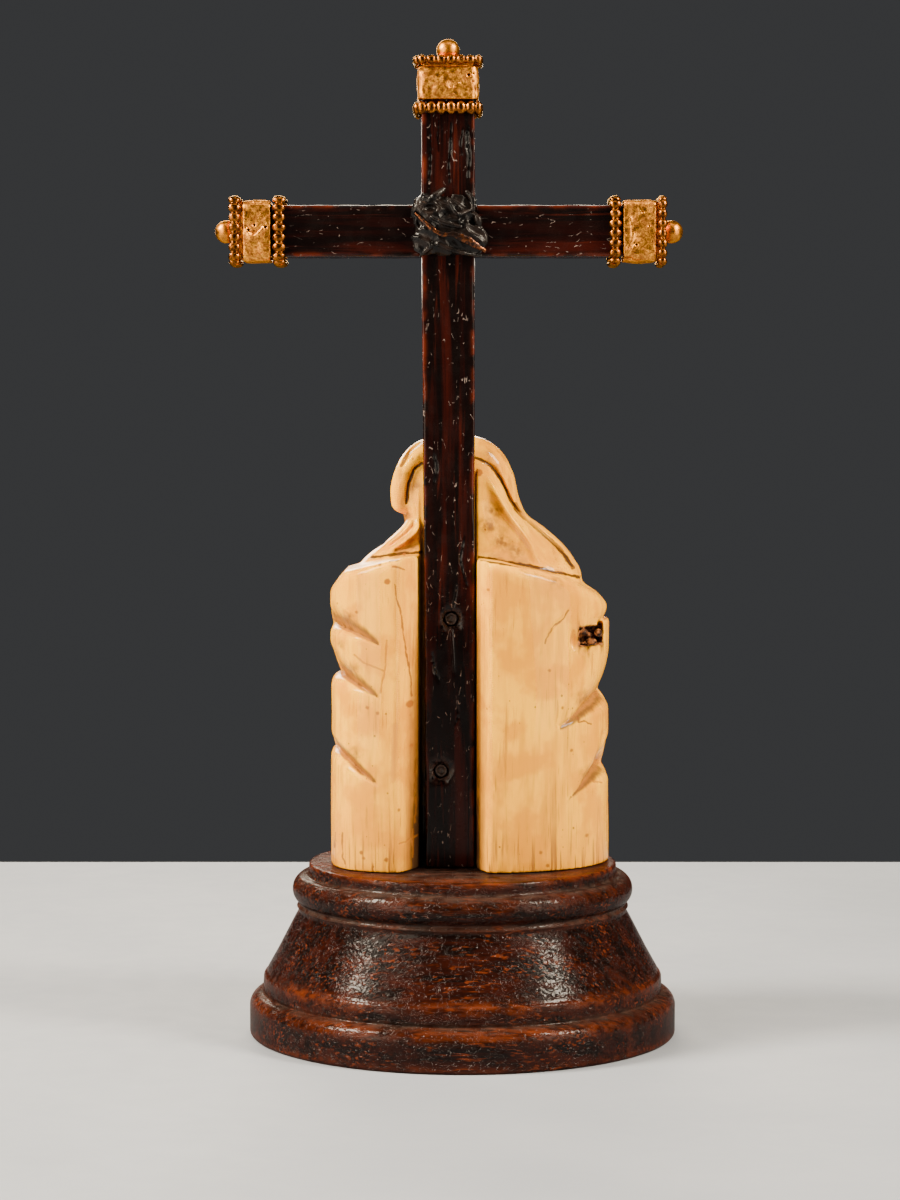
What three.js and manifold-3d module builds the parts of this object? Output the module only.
// An ivory Pieta carved from one length of tusk, standing on a turned wooden plinth. A wooden cross with
// gilt caps on its arms stands in a groove down the back of the ivory.
// Millimetres, +Z up. The origin is the centre of the plinth's underside. -Y is the back of the group,
// where the cross stands, and the figures face +Y.
import * as THREE from "three";
import { mergeVertices } from "three/addons/utils/BufferGeometryUtils.js";
import Module from "manifold-3d";

const wasm = await Module();
wasm.setup();

// Driving dimensions
const GAP = 0.3; // between pieces that touch
const PLINTH_H = 45;
const FOOT_R = 56.1;
const DISC_R = 40.3;
const TUSK = { x: 2, y: 5, left: 36.5, right: 36.4, back: 28.9, skirt: 28, chest: 9 };
const CROSS = { x: -3.8, y: -9, halfWidth: 6.8, footTaper: 1.1, halfThick: 5.5, bevel: 0.5 };
const BEAM = { z: 209.4, halfHeight: 6.55 };
const MORTISE = { x: 33.1, z: 105.4, width: 6.4, height: 5, floor: -1 };
const CAP = { half: 7.9, halfThick: 6.6, wall: 0.8, corner: 2.2, knob: 2.95 };
const WIRE = { half: 8.1, halfThick: 6.8, corner: 2.2, radius: 0.95, beads: 20 };
const NAIL = { radius: 1.7, length: 8 };

const CARVING_TRIANGLES = 5090;
const LUMP_TRIANGLES = 260;

const CROSS_BACK = CROSS.y - CROSS.halfThick;
const CROSS_FRONT = CROSS.y + CROSS.halfThick;

// Materials
const finish = (color, roughness, metalness = 0) =>
  new THREE.MeshStandardMaterial({ color, roughness, metalness });
const IVORY = finish(0xe3c48d, 0.35);
const TURNED_WOOD = finish(0x4a1c0e, 0.32);
const CROSS_WOOD = finish(0x24100c, 0.35);
const GILT = finish(0xc08a35, 0.35, 1);
const MASTIC = finish(0x14100e, 0.25);
const IRON = finish(0x2a211c, 0.6, 0.6);

const { clamp, lerp, smoothstep, degToRad } = THREE.MathUtils;
const vector = ([x, y, z]) => new THREE.Vector3(x, y, z);
const flat = (x, y) => new THREE.Vector2(x, y);

// From a closed three.js geometry to a solid and back
function solidOf(geometry) {
  const plain = geometry.clone();
  plain.deleteAttribute("normal");
  plain.deleteAttribute("uv");
  const merged = mergeVertices(plain, 1e-4);
  const index = merged.index.array;
  const kept = [];
  for (let i = 0; i < index.length; i += 3) {
    const [a, b, c] = [index[i], index[i + 1], index[i + 2]];
    if (a !== b && b !== c && c !== a) kept.push(a, b, c);
  }
  return new wasm.Manifold(
    new wasm.Mesh({
      numProp: 3,
      vertProperties: new Float32Array(merged.attributes.position.array),
      triVerts: new Uint32Array(kept),
    }),
  );
}

function geometryOf(solid) {
  const { numProp, numVert, vertProperties, triVerts } = solid.getMesh();
  const positions = new Float32Array(numVert * 3);
  for (let i = 0; i < numVert; i++) {
    positions.set(vertProperties.subarray(i * numProp, i * numProp + 3), i * 3);
  }
  const geometry = new THREE.BufferGeometry();
  geometry.setAttribute("position", new THREE.BufferAttribute(positions, 3));
  geometry.setIndex(new THREE.BufferAttribute(new Uint32Array(triVerts), 1));
  return geometry;
}

// Joins and cuts leave slivers, and more triangles than the shape needs. The edges whose loss changes the
// surface least are drawn together until the budget is met, and the shortest edges always.
function thinned(geometry, budget, shortest = 0.2) {
  const { position } = geometry.attributes;
  const placeOf = (i) => new THREE.Vector3().fromBufferAttribute(position, i);
  const places = Array.from({ length: position.count }, (_, i) => placeOf(i));
  const faces = [];
  const around = places.map(() => new Set());
  geometry.index.array.forEach((vertex, i) => {
    if (i % 3 === 0) faces.push([]);
    faces[faces.length - 1].push(vertex);
    around[vertex].add(faces.length - 1);
  });
  let left = faces.length;
  // twice the area of a face, along its normal
  const cross = ([a, b, c]) => {
    const [p, q, r] = [places[a], places[b], places[c]];
    return q.clone().sub(p).cross(r.clone().sub(p));
  };
  // each vertex keeps the planes of its first faces, weighted by area, to measure how far it leaves them
  const planes = places.map((_, vertex) =>
    [...around[vertex]].map((f) => {
      const normal = cross(faces[f]);
      const area = normal.length();
      return { normal: normal.divideScalar(Math.max(area, 1e-12)), from: places[faces[f][0]].clone(), area };
    }),
  );
  const error = (list, at) => {
    const shares = list.map(({ normal, from, area }) => area * normal.dot(at.clone().sub(from)) ** 2);
    return shares.reduce((sum, share) => sum + share, 0);
  };
  const others = (vertex) => {
    const corners = [...around[vertex]].flatMap((f) => faces[f]);
    return new Set(corners.filter((v) => v !== vertex));
  };
  const height = (normal, corners) => {
    const [p, q, r] = corners.map((v) => places[v]);
    return normal.length() / Math.max(p.distanceTo(q), q.distanceTo(r), r.distanceTo(p));
  };
  // the best place for a joined vertex that turns no face over, or null
  const bestPlace = (a, b) => {
    const both = [...planes[a], ...planes[b]];
    const choices = [places[a].clone(), places[b].clone(), places[a].clone().lerp(places[b], 0.5)];
    const costs = choices.map((at) => ({ at, cost: error(both, at) }));
    costs.sort((one, two) => one.cost - two.cost);
    const holdsBoth = (f) => faces[f].includes(a) && faces[f].includes(b);
    const touched = [...new Set([...around[a], ...around[b]])].filter((f) => !holdsBoth(f));
    const normals = touched.map((f) => cross(faces[f]));
    const heights = touched.map((f, i) => height(normals[i], faces[f]));
    const [oldA, oldB] = [places[a], places[b]];
    const good = costs.find(({ at }) => {
      places[a] = at;
      places[b] = at;
      return touched.every((f, i) => {
        const now = cross(faces[f]);
        const thin = height(now, faces[f]) < Math.min(0.03, heights[i] * 0.99);
        const turned = now.dot(normals[i]) <= 0.25 * now.length() * normals[i].length();
        return !thin && (heights[i] < 0.02 || !turned);
      });
    });
    [places[a], places[b]] = [oldA, oldB];
    return good ?? null;
  };
  const drawTogether = (a, b) => {
    const common = [...others(a)].filter((v) => others(b).has(v));
    const shared = [...around[a]].filter((f) => around[b].has(f));
    if (shared.length !== 2 || common.length !== 2) return false;
    const good = bestPlace(a, b);
    if (!good) return false;
    places[a] = good.at;
    planes[a] = [...planes[a], ...planes[b]];
    shared.forEach((f) => faces[f].forEach((v) => around[v].delete(f)));
    around[b].forEach((f) => {
      faces[f] = faces[f].map((v) => (v === b ? a : v));
      around[a].add(f);
    });
    around[b].clear();
    shared.forEach((f) => {
      faces[f] = null;
    });
    left -= 2;
    return true;
  };
  for (let pass = 0; pass < 60; pass++) {
    const edges = [];
    faces.forEach((face) => {
      if (!face) return;
      face.forEach((a, k) => {
        const b = face[(k + 1) % 3];
        if (a > b) return;
        const length = places[a].distanceTo(places[b]);
        const both = [...planes[a], ...planes[b]];
        const cost = Math.min(error(both, places[a]), error(both, places[b])) + 1e-4 * length;
        edges.push({ a, b, short: length < shortest, cost: length < shortest ? length - 1e3 : cost });
      });
    });
    edges.sort((one, two) => one.cost - two.cost);
    const used = new Set();
    const before = left;
    for (const { a, b, short } of edges.slice(0, Math.max(200, edges.length / 8))) {
      if (left <= budget && !short) break;
      if (used.has(a) || used.has(b) || !around[a].size || !around[b].size) continue;
      if (drawTogether(a, b)) [a, b, ...others(a)].forEach((v) => used.add(v));
    }
    if (left === before) break;
  }
  const kept = faces.filter(Boolean).flat();
  const result = new THREE.BufferGeometry();
  result.setAttribute("position", new THREE.Float32BufferAttribute(places.flatMap((at) => at.toArray()), 3));
  result.setIndex(kept);
  return result;
}

const join = (solids) => solids.reduce((all, next) => all.add(next));
const cutAway = (solid, cuts) => cuts.reduce((left, cut) => left.subtract(cut), solid);

function named(name, solid, material, budget = Infinity) {
  const geometry = geometryOf(solid);
  const mesh = new THREE.Mesh(budget < Infinity ? thinned(geometry, budget) : geometry, material);
  mesh.name = name;
  return mesh;
}

// A plain block, given by two opposite corners
function block([x0, y0, z0], [x1, y1, z1]) {
  const geometry = new THREE.BoxGeometry(x1 - x0, y1 - y0, z1 - z0);
  return solidOf(geometry.translate((x0 + x1) / 2, (y0 + y1) / 2, (z0 + z1) / 2));
}

// A cylinder whose rings are moved one by one: place(station, angle, onAxis) gives each vertex
function lofted(stations, sides, place) {
  const geometry = new THREE.CylinderGeometry(1, 1, 1, sides, stations - 1);
  const position = geometry.attributes.position;
  for (let i = 0; i < position.count; i++) {
    const [x, y, z] = [position.getX(i), position.getY(i), position.getZ(i)];
    const station = Math.round((0.5 + y) * (stations - 1));
    const at = place(station, Math.atan2(x, z), Math.hypot(x, z) < 0.5);
    position.setXYZ(i, at.x, at.y, at.z);
  }
  return solidOf(geometry);
}

// A rounded limb through points [x, y, z, half width, half depth]. Its depth lies along the facing direction.
function limb(points, { sides = 8, steps = 1, facing = [0, 1, 0] } = {}) {
  const curve = new THREE.CatmullRomCurve3(points.map(vector), false, "centripetal");
  const spans = points.length - 1;
  const rings = [];
  for (let i = 0; i <= spans * steps; i++) {
    const t = i / (spans * steps);
    const from = Math.min(Math.floor(t * spans + 1e-9), spans - 1);
    const [here, next, share] = [points[from], points[from + 1], t * spans - from];
    const size = (k) => lerp(here[k] ?? here[3], next[k] ?? next[3], share);
    rings.push({ centre: curve.getPoint(t), along: curve.getTangent(t), width: size(3), depth: size(4) });
  }
  // a smaller ring beyond each end rounds it off
  const nose = (ring, sign) => {
    const size = Math.min(ring.width, ring.depth);
    const centre = ring.centre.clone().addScaledVector(ring.along, sign * 0.6 * size);
    return { ...ring, centre, width: ring.width * 0.7, depth: ring.depth * 0.7 };
  };
  rings.unshift(nose(rings[0], -1));
  rings.push(nose(rings[rings.length - 1], 1));
  const hint = vector(facing);
  return lofted(rings.length, sides, (station, angle, onAxis) => {
    const { centre, along, width, depth } = rings[station];
    const end = station === 0 ? -0.25 : 0.25;
    if (onAxis) return centre.clone().addScaledVector(along, end * Math.min(width, depth));
    const side = new THREE.Vector3().crossVectors(along, hint).normalize();
    const over = new THREE.Vector3().crossVectors(side, along).normalize();
    return centre
      .clone()
      .addScaledVector(side, Math.sin(angle) * width)
      .addScaledVector(over, Math.cos(angle) * depth);
  });
}

// An ellipsoid turned to the pose of a head
function ellipsoid([x, y, z], [rx, ry, rz], { pose = new THREE.Euler(), around = 12, down = 8 } = {}) {
  const geometry = new THREE.SphereGeometry(1, around, down).rotateX(Math.PI / 2).scale(rx, ry, rz);
  const turn = new THREE.Matrix4().makeRotationFromEuler(pose);
  return solidOf(geometry.applyMatrix4(turn).translate(x, y, z));
}

// Turned plinth: a foot with a rounded shoulder, a flaring bell, a torus and a plain top disc
function plinth() {
  const segments = 36;
  const profile = [flat(0, 0), flat(FOOT_R - 0.8, 0), flat(FOOT_R, 1)];
  const arc = (r, z, radius, from, to, steps) => {
    for (let i = 0; i <= steps; i++) {
      const a = degToRad(lerp(from, to, i / steps));
      profile.push(flat(r + radius * Math.cos(a), z + radius * Math.sin(a)));
    }
  };
  arc(FOOT_R - 3.2, 7.6, 3.2, 0, 80, 3);
  profile.push(flat(52.4, 11), flat(52.3, 14.7), flat(51.4, 17), flat(43, 32.6));
  arc(40.9, 38, 4, -70, 70, 4);
  profile.push(flat(DISC_R, 41.9), flat(DISC_R, PLINTH_H - 0.6));
  profile.push(flat(DISC_R - 0.6, PLINTH_H), flat(0, PLINTH_H));
  const turned = new THREE.LatheGeometry(profile, segments).rotateX(Math.PI / 2);
  return named("plinth", solidOf(turned), TURNED_WOOD);
}

// Each fold of the mantle is a notch at a side: its height, its depth, and how soon it closes above and below
const LEFT_FOLDS = [
  { z: 109.2, depth: 2.4, above: 3.2, below: 1.7 },
  { z: 95, depth: 4.6, above: 3.4, below: 1.9 },
  { z: 76.6, depth: 3.2, above: 4.2, below: 2.6 },
];
const RIGHT_FOLDS = [
  { z: 110, depth: 1.6, above: 2.4, below: 3 },
  { z: 89, depth: 3.8, above: 4.4, below: 1.5 },
  { z: 70, depth: 6.4, above: 3.6, below: 1.5 },
];

// The shelf where the carved back stops and the shoulders rise, as height over x
const SHELF = [
  [-40, 116],
  [-33.3, 119.1],
  [-30.2, 122.4],
  [-16, 126],
  [-3.8, 126.4],
  [9.5, 124.8],
  [24.9, 120.9],
  [35.2, 116],
  [42, 110],
];

function shelfHeight(x) {
  const next = Math.max(1, SHELF.findIndex(([end]) => x <= end));
  const [[x0, z0], [x1, z1]] = [SHELF[next - 1], SHELF[next]];
  return lerp(z0, z1, (x - x0) / (x1 - x0));
}

const angleFromSide = (angle) => Math.PI / 2 - Math.abs(Math.abs(angle) - Math.PI / 2);

// The folds sink from each side towards the back
function foldSlope(angle, z) {
  const towardsBack = angle < 0 ? smoothstep(angleFromSide(angle), 0, 0.85) : 0;
  const share = clamp((z - PLINTH_H) / 81, 0, 1);
  return 8.6 * Math.sin(Math.PI * share ** 0.8) * towardsBack;
}

// How deep the folds cut at a height, for the angle
function foldDepth(angle, z) {
  const away = angleFromSide(angle);
  const reach = angle < 0 ? 1 - smoothstep(away, 0.45, 0.95) : 1 - smoothstep(away, 0.6, 1.1);
  const dents = (Math.cos(angle) < 0 ? LEFT_FOLDS : RIGHT_FOLDS).map((fold) => {
    const share = z > fold.z ? (z - fold.z) / fold.above : (fold.z - z) / fold.below;
    return fold.depth * Math.exp(-(share ** 2));
  });
  return reach * Math.max(...dents);
}

// Section of the tusk: how far the ivory reaches from its axis. The corner at the left of the back is
// squarer.
function tuskReach(angle, z) {
  const [c, s] = [Math.cos(angle), Math.sin(angle)];
  const lap = 1 - smoothstep(z, 82, 95);
  const halfWidth = c < 0 ? TUSK.left : TUSK.right;
  const depth = s < 0 ? TUSK.back : lerp(TUSK.chest, TUSK.skirt, lap);
  const backPower = c < 0 ? 3.7 : 2.25;
  const power = s < 0 ? backPower : lerp(3, 2.4, lap);
  const reach = (Math.abs(c / halfWidth) ** power + Math.abs(s / depth) ** power) ** (-1 / power);
  return reach - foldDepth(angle, z);
}

// The mantle and skirts of the seated figure, the outside of the tusk
function mantle() {
  const base = PLINTH_H + GAP;
  const heights = [base, 56, 66.5, 68.4, 70, 73, 77, 81, 85, 87.4, 89, 92.4, 95, 98, 103, 107, 109.4];
  // rows of the shelf: their share of the way up from the last height, and how far they draw in
  const shelfRows = [
    [0.2, 0],
    [0.6, 0],
    [0.88, 0.4],
    [1, 2],
    [1.02, 12],
  ];
  const last = heights[heights.length - 1];
  return lofted(heights.length + shelfRows.length, 40, (station, angle, onAxis) => {
    const onShelf = station >= heights.length;
    if (onAxis) return new THREE.Vector3(TUSK.x, TUSK.y, onShelf ? 124 : base);
    const [share, inset] = onShelf ? shelfRows[station - heights.length] : [0, 0];
    const z = onShelf ? lerp(last, 116, share) : heights[station];
    const reach = tuskReach(angle, z) - inset;
    const [x, y] = [TUSK.x + reach * Math.cos(angle), TUSK.y + reach * Math.sin(angle)];
    const sunk = (onShelf ? last : z) - foldSlope(angle, onShelf ? last : z);
    return new THREE.Vector3(x, y, lerp(sunk, shelfHeight(x), share));
  });
}

// The shoulders and the back of the neck under the mantle
function cape() {
  // height, left, right, back and front of each section
  const rows = [
    [112, -29, 31, -13, 12],
    [119, -29.5, 31, -13, 13],
    [123, -27, 29.5, -11.5, 13.5],
    [127, -22.8, 26.6, -8.5, 13],
    [131, -17.6, 21.6, -6, 11.5],
    [135, -13.6, 16.6, -4.6, 10],
    [139, -12.6, 13.2, -4.6, 9],
    [145, -12, 10.6, -4, 8],
  ];
  const middleY = 2;
  return lofted(rows.length, 18, (station, angle, onAxis) => {
    const [z, left, right, back, front] = rows[station];
    const middle = (left + right) / 2;
    if (onAxis) return new THREE.Vector3(middle, middleY, z);
    const [c, s] = [Math.cos(angle), Math.sin(angle)];
    const depth = s < 0 ? middleY - back : front - middleY;
    return new THREE.Vector3(middle + ((right - left) / 2) * c, middleY + s * depth, z);
  });
}

// Heads, each with its middle and its pose. A head faces +Y before it is posed.
const MOTHER_HEAD = { at: [-3.2, 8.5, 144.5], pose: new THREE.Euler(-0.34, 0.06, 0.3, "ZXY"), size: 0.98 };
const SON_HEAD = { at: [-21.4, 21.4, 113.4], pose: new THREE.Euler(0.35, -0.72, -0.2, "ZXY"), size: 0.86 };

const onHead = ({ at, pose, size }, offset) =>
  vector(offset).multiplyScalar(size).applyEuler(pose).add(vector(at)).toArray();

// A face of plain, even features: nose, mouth and chin, with sunk eyes
function head(frame) {
  const { pose, size } = frame;
  const on = (x, y, z, ...radii) => [...onHead(frame, [x, y, z]), ...radii.map((r) => r * size)];
  const oval = (offset, radii, detail) => {
    const sized = radii.map((r) => r * size);
    return ellipsoid(onHead(frame, offset), sized, { pose, ...detail });
  };
  const skull = oval([0, 0, 0], [7.3, 8.8, 9.8], { around: 12, down: 8 });
  const socket = (side) => oval([side * 3.1, 8.9, 0.4], [1.9, 1.3, 1.1], { around: 6, down: 4 });
  const sockets = [-1, 1].map(socket);
  const nose = limb([on(0, 8.2, 1.6, 0.8, 0.8), on(0, 9.7, -2.2, 1.1, 1.1)], { sides: 5 });
  const mouth = limb([on(-1.9, 7.3, -5, 0.7), on(0, 7.9, -5, 1), on(1.9, 7.3, -5, 0.7)], {
    sides: 4,
    facing: [0, 0, 1],
  });
  const chin = oval([0, 6.2, -7.8], [2.6, 2.4, 2.2], { around: 6, down: 5 });
  return join([cutAway(skull, sockets), nose, mouth, chin]);
}

const HOOD_RIM = [
  [-15.4, 9, 139.6, 2.6, 5.6],
  [-15.6, 8.5, 144.5, 3, 6.6],
  [-12.9, 7, 150, 2.7, 7.4],
  [-7.6, 6, 153.8, 2.5, 7.8],
  [-2, 5.6, 154.6, 2.5, 8],
  [4, 6, 153.2, 2.5, 7.8],
  [9, 7, 149, 2.6, 7.2],
  [11, 8, 143.6, 2.6, 6.4],
  [12, 8.5, 137.5, 2.5, 5.4],
  [16, 8, 131.6, 2.4, 5],
  [22.4, 7, 126, 2.6, 4.6],
  [28, 5.4, 120.4, 3, 4.4],
];

// The bowed head in its hood
function hoodedHead() {
  const veil = ellipsoid([-2.6, 5.4, 143], [13.2, 9.6, 11.4], { around: 14, down: 9 });
  const rim = limb(HOOD_RIM);
  const { pose } = MOTHER_HEAD;
  const opening = ellipsoid(onHead(MOTHER_HEAD, [0, 8.5, -0.5]), [8.6, 10, 10.4], { pose, around: 10 });
  const neck = limb([[-1.6, 5.6, 127, 6, 6], [-3.6, 9.4, 135.6, 4.4, 4.2]]);
  return join([cutAway(join([veil, rim]), [opening]), head(MOTHER_HEAD), neck]);
}

// The seated figure's breast and arms, and the folds that fall from the shoulders
function seatedBust() {
  const breastPath = [
    [-1, 5, 98, 17, 11],
    [-1, 6, 112, 17, 10.5],
    [-1.4, 5.5, 124, 12, 8.5],
  ];
  const breast = limb(breastPath, { sides: 12 });
  const arms = [
    [[21, 5, 119, 8, 8], [28, 10, 108, 7.6, 8], [27, 18.5, 102, 6.4, 6], [18, 24.4, 103, 4.6, 4.2]],
    [[-19, 5, 119, 8, 8], [-26.5, 9, 109, 7, 8], [-26, 17, 103.5, 6, 5.4], [-19, 22.6, 101.6, 4.6, 4]],
    [[20.4, 23.2, 102.6, 5.6, 5.2], [17, 25, 103.2, 5.2, 4.8]],
  ].map((arm) => limb(arm, { facing: [0, 0, 1] }));
  const folds = [
    [[-10, 11.5, 131, 1.6, 2], [-11, 13.6, 121, 1.8, 2.2], [-7, 15.6, 113, 1.5, 1.8]],
    [[7, 11, 131, 1.6, 2], [10.6, 13.4, 121, 1.8, 2.2], [8, 16, 111, 1.6, 1.8]],
    [[-4.4, 12, 128, 1.1, 1.4], [-2, 15.4, 118, 1.3, 1.5], [2.4, 15.6, 112, 1, 1.2]],
    [[14.6, 10.4, 127, 1.6, 2], [18.4, 13, 117, 1.8, 2], [15, 16.6, 107, 1.6, 1.8]],
  ].map((fold) => limb(fold, { sides: 6 }));
  return [breast, ...arms, ...folds];
}

// A palm, fingers and a thumb, reaching from the wrist along one direction and spread across another
function hand(wrist, along, across, size) {
  const [forward, side] = [vector(along).normalize(), vector(across).normalize()];
  const facing = new THREE.Vector3().crossVectors(side, forward).toArray();
  const at = (f, s, ...radii) => {
    const place = vector(wrist).addScaledVector(forward, f * size).addScaledVector(side, s * size);
    return [...place.toArray(), ...radii.map((r) => r * size)];
  };
  const palm = limb([at(0, 0, 1.5, 1.1), at(4, 0, 2.3, 1)], { sides: 6, facing });
  const finger = (s) => limb([at(4, s, 0.62), at(8.4 - Math.abs(s), s * 1.25, 0.5)], { sides: 4, facing });
  const thumb = limb([at(1.6, 2, 0.7), at(4.6, 3.9, 0.55)], { sides: 4, facing });
  return join([palm, ...[-1.6, -0.5, 0.6, 1.6].map(finger), thumb]);
}

// The knees, the folds of the skirts and the shoes
function skirts() {
  const legs = [
    [[-9, 8, 88, 10, 8], [-15, 23, 85.5, 9.5, 8.4], [-15.5, 25, 70, 8.6, 8], [-14, 26, 50, 8, 8]],
    [[10, 8, 88, 10, 8], [17, 22.5, 86.5, 9.5, 8.4], [18, 25, 70, 8.6, 8], [16, 26, 50, 8, 8]],
  ].map((leg) => limb(leg, { sides: 9, facing: [1, 0, 0] }));
  const folds = [
    [[-12, 31, 83, 1, 1.6], [-7, 32, 72, 1.5, 2.4], [-4, 31.6, 58, 1.8, 2.6], [-3, 31.8, 48.6, 2.2, 2.6]],
    [[-19, 30, 82, 1, 1.6], [-19.6, 31, 68, 1.4, 2], [-22, 27.6, 50, 2, 2.4]],
    [[13, 30.8, 84, 1, 1.6], [7, 32, 72, 1.5, 2.4], [5.4, 31.4, 58, 1.8, 2.6], [6, 31.8, 48.6, 2.2, 2.6]],
    [[21, 29.6, 80, 1, 1.6], [23, 29.4, 66, 1.4, 2], [26, 25.8, 50, 2, 2.4]],
    [[-11, 31.6, 79, 1, 1.2], [0, 30.6, 71.6, 1.2, 1.6], [11, 31.2, 77, 1, 1.2]],
  ].map((fold) => limb(fold, { sides: 6 }));
  const shoes = [-10.5, 14].map((x) => ellipsoid([x, 29, 48.4], [4, 6.2, 2.9], { around: 8, down: 5 }));
  return [...legs, ...folds, ...shoes];
}

// The figure that lies across the lap, its head on the seated figure's left arm
function lyingFigure() {
  const torso = limb(
    [
      [6, 20.5, 95.6, 8.6, 7],
      [-2, 21, 98.8, 7.2, 6],
      [-8.6, 21, 103, 8.8, 6.8],
      [-14, 20, 106.6, 9.4, 6.4],
      [-17, 19.4, 108.6, 5, 4.6],
    ],
    { sides: 10 },
  );
  const neck = limb([[-15, 19.6, 107.6, 4, 4], [-19, 20.6, 110.6, 3.6, 3.8]]);
  const { pose, size } = SON_HEAD;
  const beard = ellipsoid(onHead(SON_HEAD, [0, 5, -8]), [3.6, 3.2, 4], { pose, around: 8, down: 6 });
  const lock = (x, y, z, r) => [...onHead(SON_HEAD, [x, y, z]), r * size];
  const hair = [-1, 1].map((side) =>
    limb(
      [
        lock(side * 2, 3, 9, 1.8),
        lock(side * 6.4, 1, 5, 2.6),
        lock(side * 7.6, 0, -3, 2.6),
        lock(side * 7, 0, -10, 1.8),
      ],
      { sides: 6 },
    ),
  );
  const arms = [
    [
      [-9.6, 20, 112.6, 3.6, 3.6],
      [-1.6, 23.6, 108.8, 3.3, 3.3],
      [5, 26, 105, 2.9, 2.9],
      [11.6, 28.4, 101.6, 2, 1.9],
    ],
    [
      [-18.6, 22, 103, 3.7, 3.7],
      [-22, 28, 95.4, 3.3, 3.3],
      [-20.8, 30.4, 88.6, 2.8, 2.7],
      [-17.8, 31.4, 81.6, 1.9, 1.8],
    ],
  ].map((arm) => limb(arm, { sides: 7 }));
  const legs = [
    [
      [7, 20, 99, 6, 6],
      [17, 23, 101.6, 5.6, 5.6],
      [26.6, 25, 101, 4.6, 4.6],
      [29.6, 26.4, 90, 4, 4.2],
      [29, 26.8, 75, 2.5, 2.7],
    ],
    [
      [6, 22, 94, 6, 6],
      [15, 27, 95, 5.4, 5.4],
      [22, 29, 93, 4.6, 4.6],
      [23.4, 29.6, 83, 3.9, 4],
      [22, 29.6, 68, 2.4, 2.6],
    ],
  ].map((leg) => limb(leg, { sides: 7 }));
  const feet = [
    [[29, 26.6, 72.6, 2.4, 2.2], [27.6, 30.4, 67, 2.3, 1.4]],
    [[22, 29.4, 66.6, 2.4, 2.2], [20.6, 32.4, 61.4, 2.3, 1.4]],
  ].map((foot) => limb(foot, { sides: 6 }));
  const clothPath = [
    [-1.6, 21, 99.6, 8.6, 7.2],
    [4, 21.8, 97, 9.6, 8.2],
    [10, 23, 96.8, 9.4, 8.2],
  ];
  const cloth = limb(clothPath, { sides: 10 });
  const clothFolds = [
    [[1, 28, 104.6, 1, 1.2], [4, 30.4, 97, 1.3, 1.5], [5, 29, 88.6, 1, 1.2]],
    [[6, 27.6, 105, 1, 1.2], [9, 30.8, 98, 1.3, 1.5], [8, 30.6, 88, 1, 1.2]],
    [[2.4, 29.6, 91, 2, 1.6], [1.6, 31, 84, 2.2, 1.4], [2.4, 32, 77.6, 2.6, 1.2]],
  ].map((fold) => limb(fold, { sides: 6 }));
  const hands = [
    hand([12, 28.4, 101.4], [0.9, 0.25, -0.5], [0.4, -0.1, 0.9], 0.8),
    hand([-17.6, 31.4, 81], [0.35, 0.02, -1], [1, 0, 0.3], 0.8),
  ];
  const body = [torso, neck, head(SON_HEAD), beard, ...hair];
  return [...body, ...arms, ...legs, ...feet, cloth, ...clothFolds, ...hands];
}

// The groove that the cross stands in, its flanks rounded so that the back parts into two lobes
function crossGroove() {
  const left = CROSS.x - CROSS.halfWidth - GAP;
  const right = CROSS.x + CROSS.halfWidth + GAP;
  const outline = new THREE.Shape();
  outline.moveTo(left, CROSS_FRONT + GAP);
  outline.lineTo(left, -9.6);
  outline.quadraticCurveTo(left - 1.2, -18, -16.4, -24.6);
  outline.lineTo(-16.4, -60);
  outline.lineTo(7, -60);
  outline.lineTo(7, -24.4);
  outline.quadraticCurveTo(right + 0.4, -18.6, right, -11);
  outline.lineTo(right, CROSS_FRONT + GAP);
  const geometry = new THREE.ExtrudeGeometry(outline, { depth: 130, bevelEnabled: false, curveSegments: 4 });
  return solidOf(geometry.translate(0, 0, PLINTH_H - 5));
}

// A square pocket in the right side of the back, where something was once let in
function mortise() {
  const { x, z, width, height, floor } = MORTISE;
  return block([x - width / 2, -30, z - height / 2], [x + width / 2, floor, z + height / 2]);
}

function pieta() {
  const holdingHand = hand([15.6, 25.8, 103.6], [-0.9, 0.35, 0.1], [0, -0.2, 1], 0.95);
  const seated = [mantle(), cape(), hoodedHead(), ...seatedBust(), ...skirts()];
  const carving = join([...seated, ...lyingFigure(), holdingHand]);
  const belowBase = block([-60, -60, 0], [60, 60, PLINTH_H + GAP]);
  return named("pieta", cutAway(carving, [crossGroove(), mortise(), belowBase]), IVORY, CARVING_TRIANGLES);
}

// A straight bar with bevelled corners, from one section { at, halfWidth } to another. Its axis runs up or
// along X.
function bar(sections, axis) {
  const { halfThick, bevel } = CROSS;
  const corners = ({ halfWidth: w }) => [
    [w, bevel - halfThick],
    [w, halfThick - bevel],
    [w - bevel, halfThick],
    [bevel - w, halfThick],
    [-w, halfThick - bevel],
    [-w, bevel - halfThick],
    [bevel - w, -halfThick],
    [w - bevel, -halfThick],
  ];
  return lofted(sections.length, 8, (station, angle, onAxis) => {
    const section = sections[station];
    const corner = Math.round((angle / Math.PI) * 4 + 8) % 8;
    const [across, through] = onAxis ? [0, 0] : corners(section)[corner];
    if (axis === "x") return new THREE.Vector3(section.at, CROSS.y + through, BEAM.z - across);
    return new THREE.Vector3(section.x + across, CROSS.y + through, section.at);
  });
}

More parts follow.
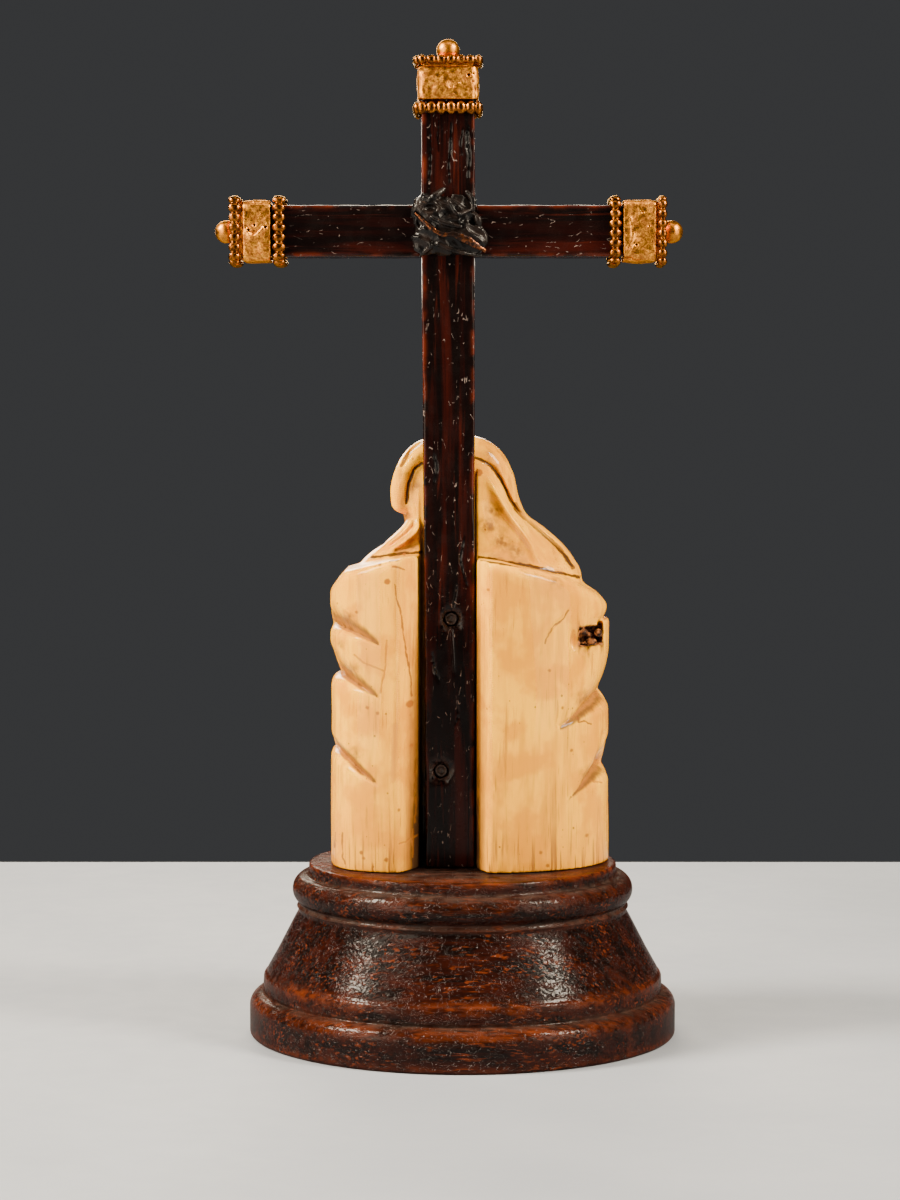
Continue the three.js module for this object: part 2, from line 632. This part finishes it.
// Each cap by its places along its bar, outwards: the inner and the outer beaded wire, and the knob's tip
const QUARTER = Math.PI / 2;
const CAPS = [
  { name: "top", inner: [238.7, 242.3], outer: [251.4, 254], tip: 258.6, turn: 0, middle: [CROSS.x, 0] },
  { name: "left", inner: [45.2, 48.8], outer: [56.7, 60.1], tip: 63.8, turn: -QUARTER, middle: [0, BEAM.z] },
  { name: "right", inner: [37.3, 40.6], outer: [49.8, 52.3], tip: 56.7, turn: QUARTER, middle: [0, BEAM.z] },
];

const barEnd = ({ outer }) => outer[0] - 1.8;
const [TOP, LEFT, RIGHT] = CAPS.map(barEnd);

// The two bars are halved into each other: the upright keeps its back half and the beam its front half
function crossUpright() {
  const { x, y, halfWidth, footTaper } = CROSS;
  const foot = { at: PLINTH_H + GAP, x: x + footTaper / 2, halfWidth: halfWidth - footTaper / 2 };
  const upright = bar([foot, { at: TOP, x, halfWidth }], "z");
  const reach = BEAM.halfHeight + GAP;
  const halving = block([x - 20, y - GAP / 2, BEAM.z - reach], [x + 20, y + 20, BEAM.z + reach]);
  const holes = NAILS.map((nail) => nailShaft(nail, GAP));
  return named("cross_upright", cutAway(upright, [halving, ...holes]), CROSS_WOOD);
}

function crossBeam() {
  const { x, y, halfWidth } = CROSS;
  const ends = [-LEFT, RIGHT].map((at) => ({ at, halfWidth: BEAM.halfHeight }));
  const beam = bar(ends, "x");
  const reach = halfWidth + GAP;
  const halving = block([x - reach, y - 20, BEAM.z - 20], [x + reach, y + GAP / 2, BEAM.z + 20]);
  return named("cross_beam", cutAway(beam, [halving]), CROSS_WOOD);
}

// Two nails driven through the upright from behind
const NAILS = [
  { name: "nail_upper", x: -3, z: 109.8 },
  { name: "nail_lower", x: -5.6, z: 70.4 },
];

function nailShaft({ x, z }, allowance = 0) {
  const { radius, length } = NAIL;
  const from = CROSS_BACK + (allowance ? -1 : 0.2);
  const to = CROSS_BACK + length + allowance;
  const geometry = new THREE.CylinderGeometry(radius + allowance, radius + allowance, to - from, 10);
  return solidOf(geometry.translate(x, (from + to) / 2, z));
}

// A lump of black mastic over the crossing, with a strip of wire pressed into it
const WIRE_PATH = [
  [-11.6, -16.4, 214.6, 0.7],
  [-9, -17.9, 209.6, 0.7],
  [-5.4, -18.3, 207.6, 0.7],
  [-1.4, -18, 206.9, 0.7],
  [3, -17.2, 204.6, 0.7],
  [6, -16, 203.4, 0.6],
];

function crossing() {
  const lumps = [
    [[-4.6, CROSS_BACK - GAP, 210.4], [7.8, 3.2, 7.6]],
    [[-8.4, CROSS_BACK - GAP, 214], [5, 2.6, 5.4]],
    [[1.2, CROSS_BACK - GAP, 207.2], [5.4, 2.7, 4.6]],
    [[-1.6, CROSS_BACK - GAP, 213.6], [4.4, 2.2, 5.2]],
    [[-9.4, CROSS_BACK - GAP, 206.8], [4.2, 2.2, 3.8]],
  ].map(([middle, radii]) => ellipsoid(middle, radii, { around: 9, down: 6 }));
  const wood = block([-40, CROSS_BACK - GAP, 180], [40, 20, 240]);
  const widened = WIRE_PATH.map(([x, y, z, r]) => [x, y, z, r + GAP]);
  const bed = limb(widened, { sides: 5, facing: [0, 1, 0.1] });
  const wire = cutAway(limb(WIRE_PATH, { sides: 5, facing: [0, 1, 0.1] }), [wood]);
  return [
    named("crossing_mastic", cutAway(join(lumps), [wood, bed]), MASTIC, LUMP_TRIANGLES),
    named("crossing_wire", wire, IRON),
  ];
}

// A rectangle with rounded corners, by its half sizes
function roundedRectangle(w, h, r) {
  const outline = new THREE.Shape();
  const arc = (x, y, turns) => outline.absarc(x, y, r, turns * QUARTER, (turns + 1) * QUARTER, false);
  arc(w - r, h - r, 0);
  arc(r - w, h - r, 1);
  arc(r - w, r - h, 2);
  arc(w - r, r - h, 3);
  outline.closePath();
  return outline;
}

function capBlock(w, h, r, from, to) {
  const options = { depth: to - from, bevelEnabled: false, curveSegments: 2 };
  return new THREE.ExtrudeGeometry(roundedRectangle(w, h, r), options).translate(0, 0, from);
}

// A cup over the end of a bar, with a smaller end plate that the outer wire goes round
function sleeve({ inner, outer }) {
  const { half, halfThick, wall, corner } = CAP;
  const [mouth, shoulder] = [inner[1] + GAP, outer[0] - GAP];
  const plateHalf = WIRE.half - WIRE.radius - GAP;
  const plateHalfThick = WIRE.halfThick - WIRE.radius - GAP;
  const body = solidOf(capBlock(half, halfThick, corner, mouth, shoulder));
  const plate = solidOf(capBlock(plateHalf, plateHalfThick, 1.2, shoulder - 0.4, outer[1] - 0.6));
  const pocket = solidOf(capBlock(half - wall, halfThick - wall, 0.5, mouth - 5, shoulder - 1.2));
  return cutAway(join([body, plate]), [pocket]);
}

// A ring of beads round the bar, as one body: a torus led round a rounded rectangle, swelling at each bead
function beadedWire([from, to]) {
  const { half, halfThick, corner, radius, beads } = WIRE;
  const path = roundedRectangle(half, halfThick, corner);
  const steps = beads * 2;
  const places = path.getSpacedPoints(steps);
  const geometry = new THREE.TorusGeometry(5, 1, 4, steps);
  const position = geometry.attributes.position;
  for (let i = 0; i < position.count; i++) {
    const [x, y, z] = [position.getX(i), position.getY(i), position.getZ(i)];
    const step = Math.round((Math.atan2(y, x) / (2 * Math.PI)) * steps + steps) % steps;
    const swell = step % 2 === 0 ? 1 : 0.62;
    const [before, after] = [places[(step + steps - 1) % steps], places[step + 1]];
    const outward = flat(after.y - before.y, before.x - after.x).normalize();
    const across = (Math.hypot(x, y) - 5) * radius * swell;
    const along = (z * (to - from) * swell) / 2;
    const at = places[step].clone().addScaledVector(outward, across);
    position.setXYZ(i, at.x, at.y, (from + to) / 2 + along);
  }
  return solidOf(geometry);
}

// A ball on the end plate, flat where it sits
function knob({ outer, tip }) {
  const plateTop = outer[1] - 0.6 + GAP;
  const ball = new THREE.SphereGeometry(CAP.knob, 12, 8).rotateX(Math.PI / 2).translate(0, 0, tip - CAP.knob);
  const collar = new THREE.CylinderGeometry(1.7, 2, 2, 12).rotateX(Math.PI / 2).translate(0, 0, plateTop + 1);
  return join([solidOf(ball), solidOf(collar)]).subtract(block([-9, -9, plateTop - 20], [9, 9, plateTop]));
}

function gildedCap(cap) {
  const group = new THREE.Group();
  group.add(
    named(`${cap.name}_cap_sleeve`, sleeve(cap), GILT),
    named(`${cap.name}_cap_inner_wire`, beadedWire(cap.inner), GILT),
    named(`${cap.name}_cap_outer_wire`, beadedWire(cap.outer), GILT),
    named(`${cap.name}_cap_knob`, knob(cap), GILT),
  );
  group.rotation.y = cap.turn;
  group.position.set(cap.middle[0], CROSS.y, cap.middle[1]);
  return group;
}

function nail(place) {
  return named(place.name, nailShaft(place), IRON);
}

const part = new THREE.Group();
part.add(plinth(), pieta(), crossUpright(), crossBeam(), ...crossing());
part.add(...NAILS.map(nail), ...CAPS.map(gildedCap));

export default part;
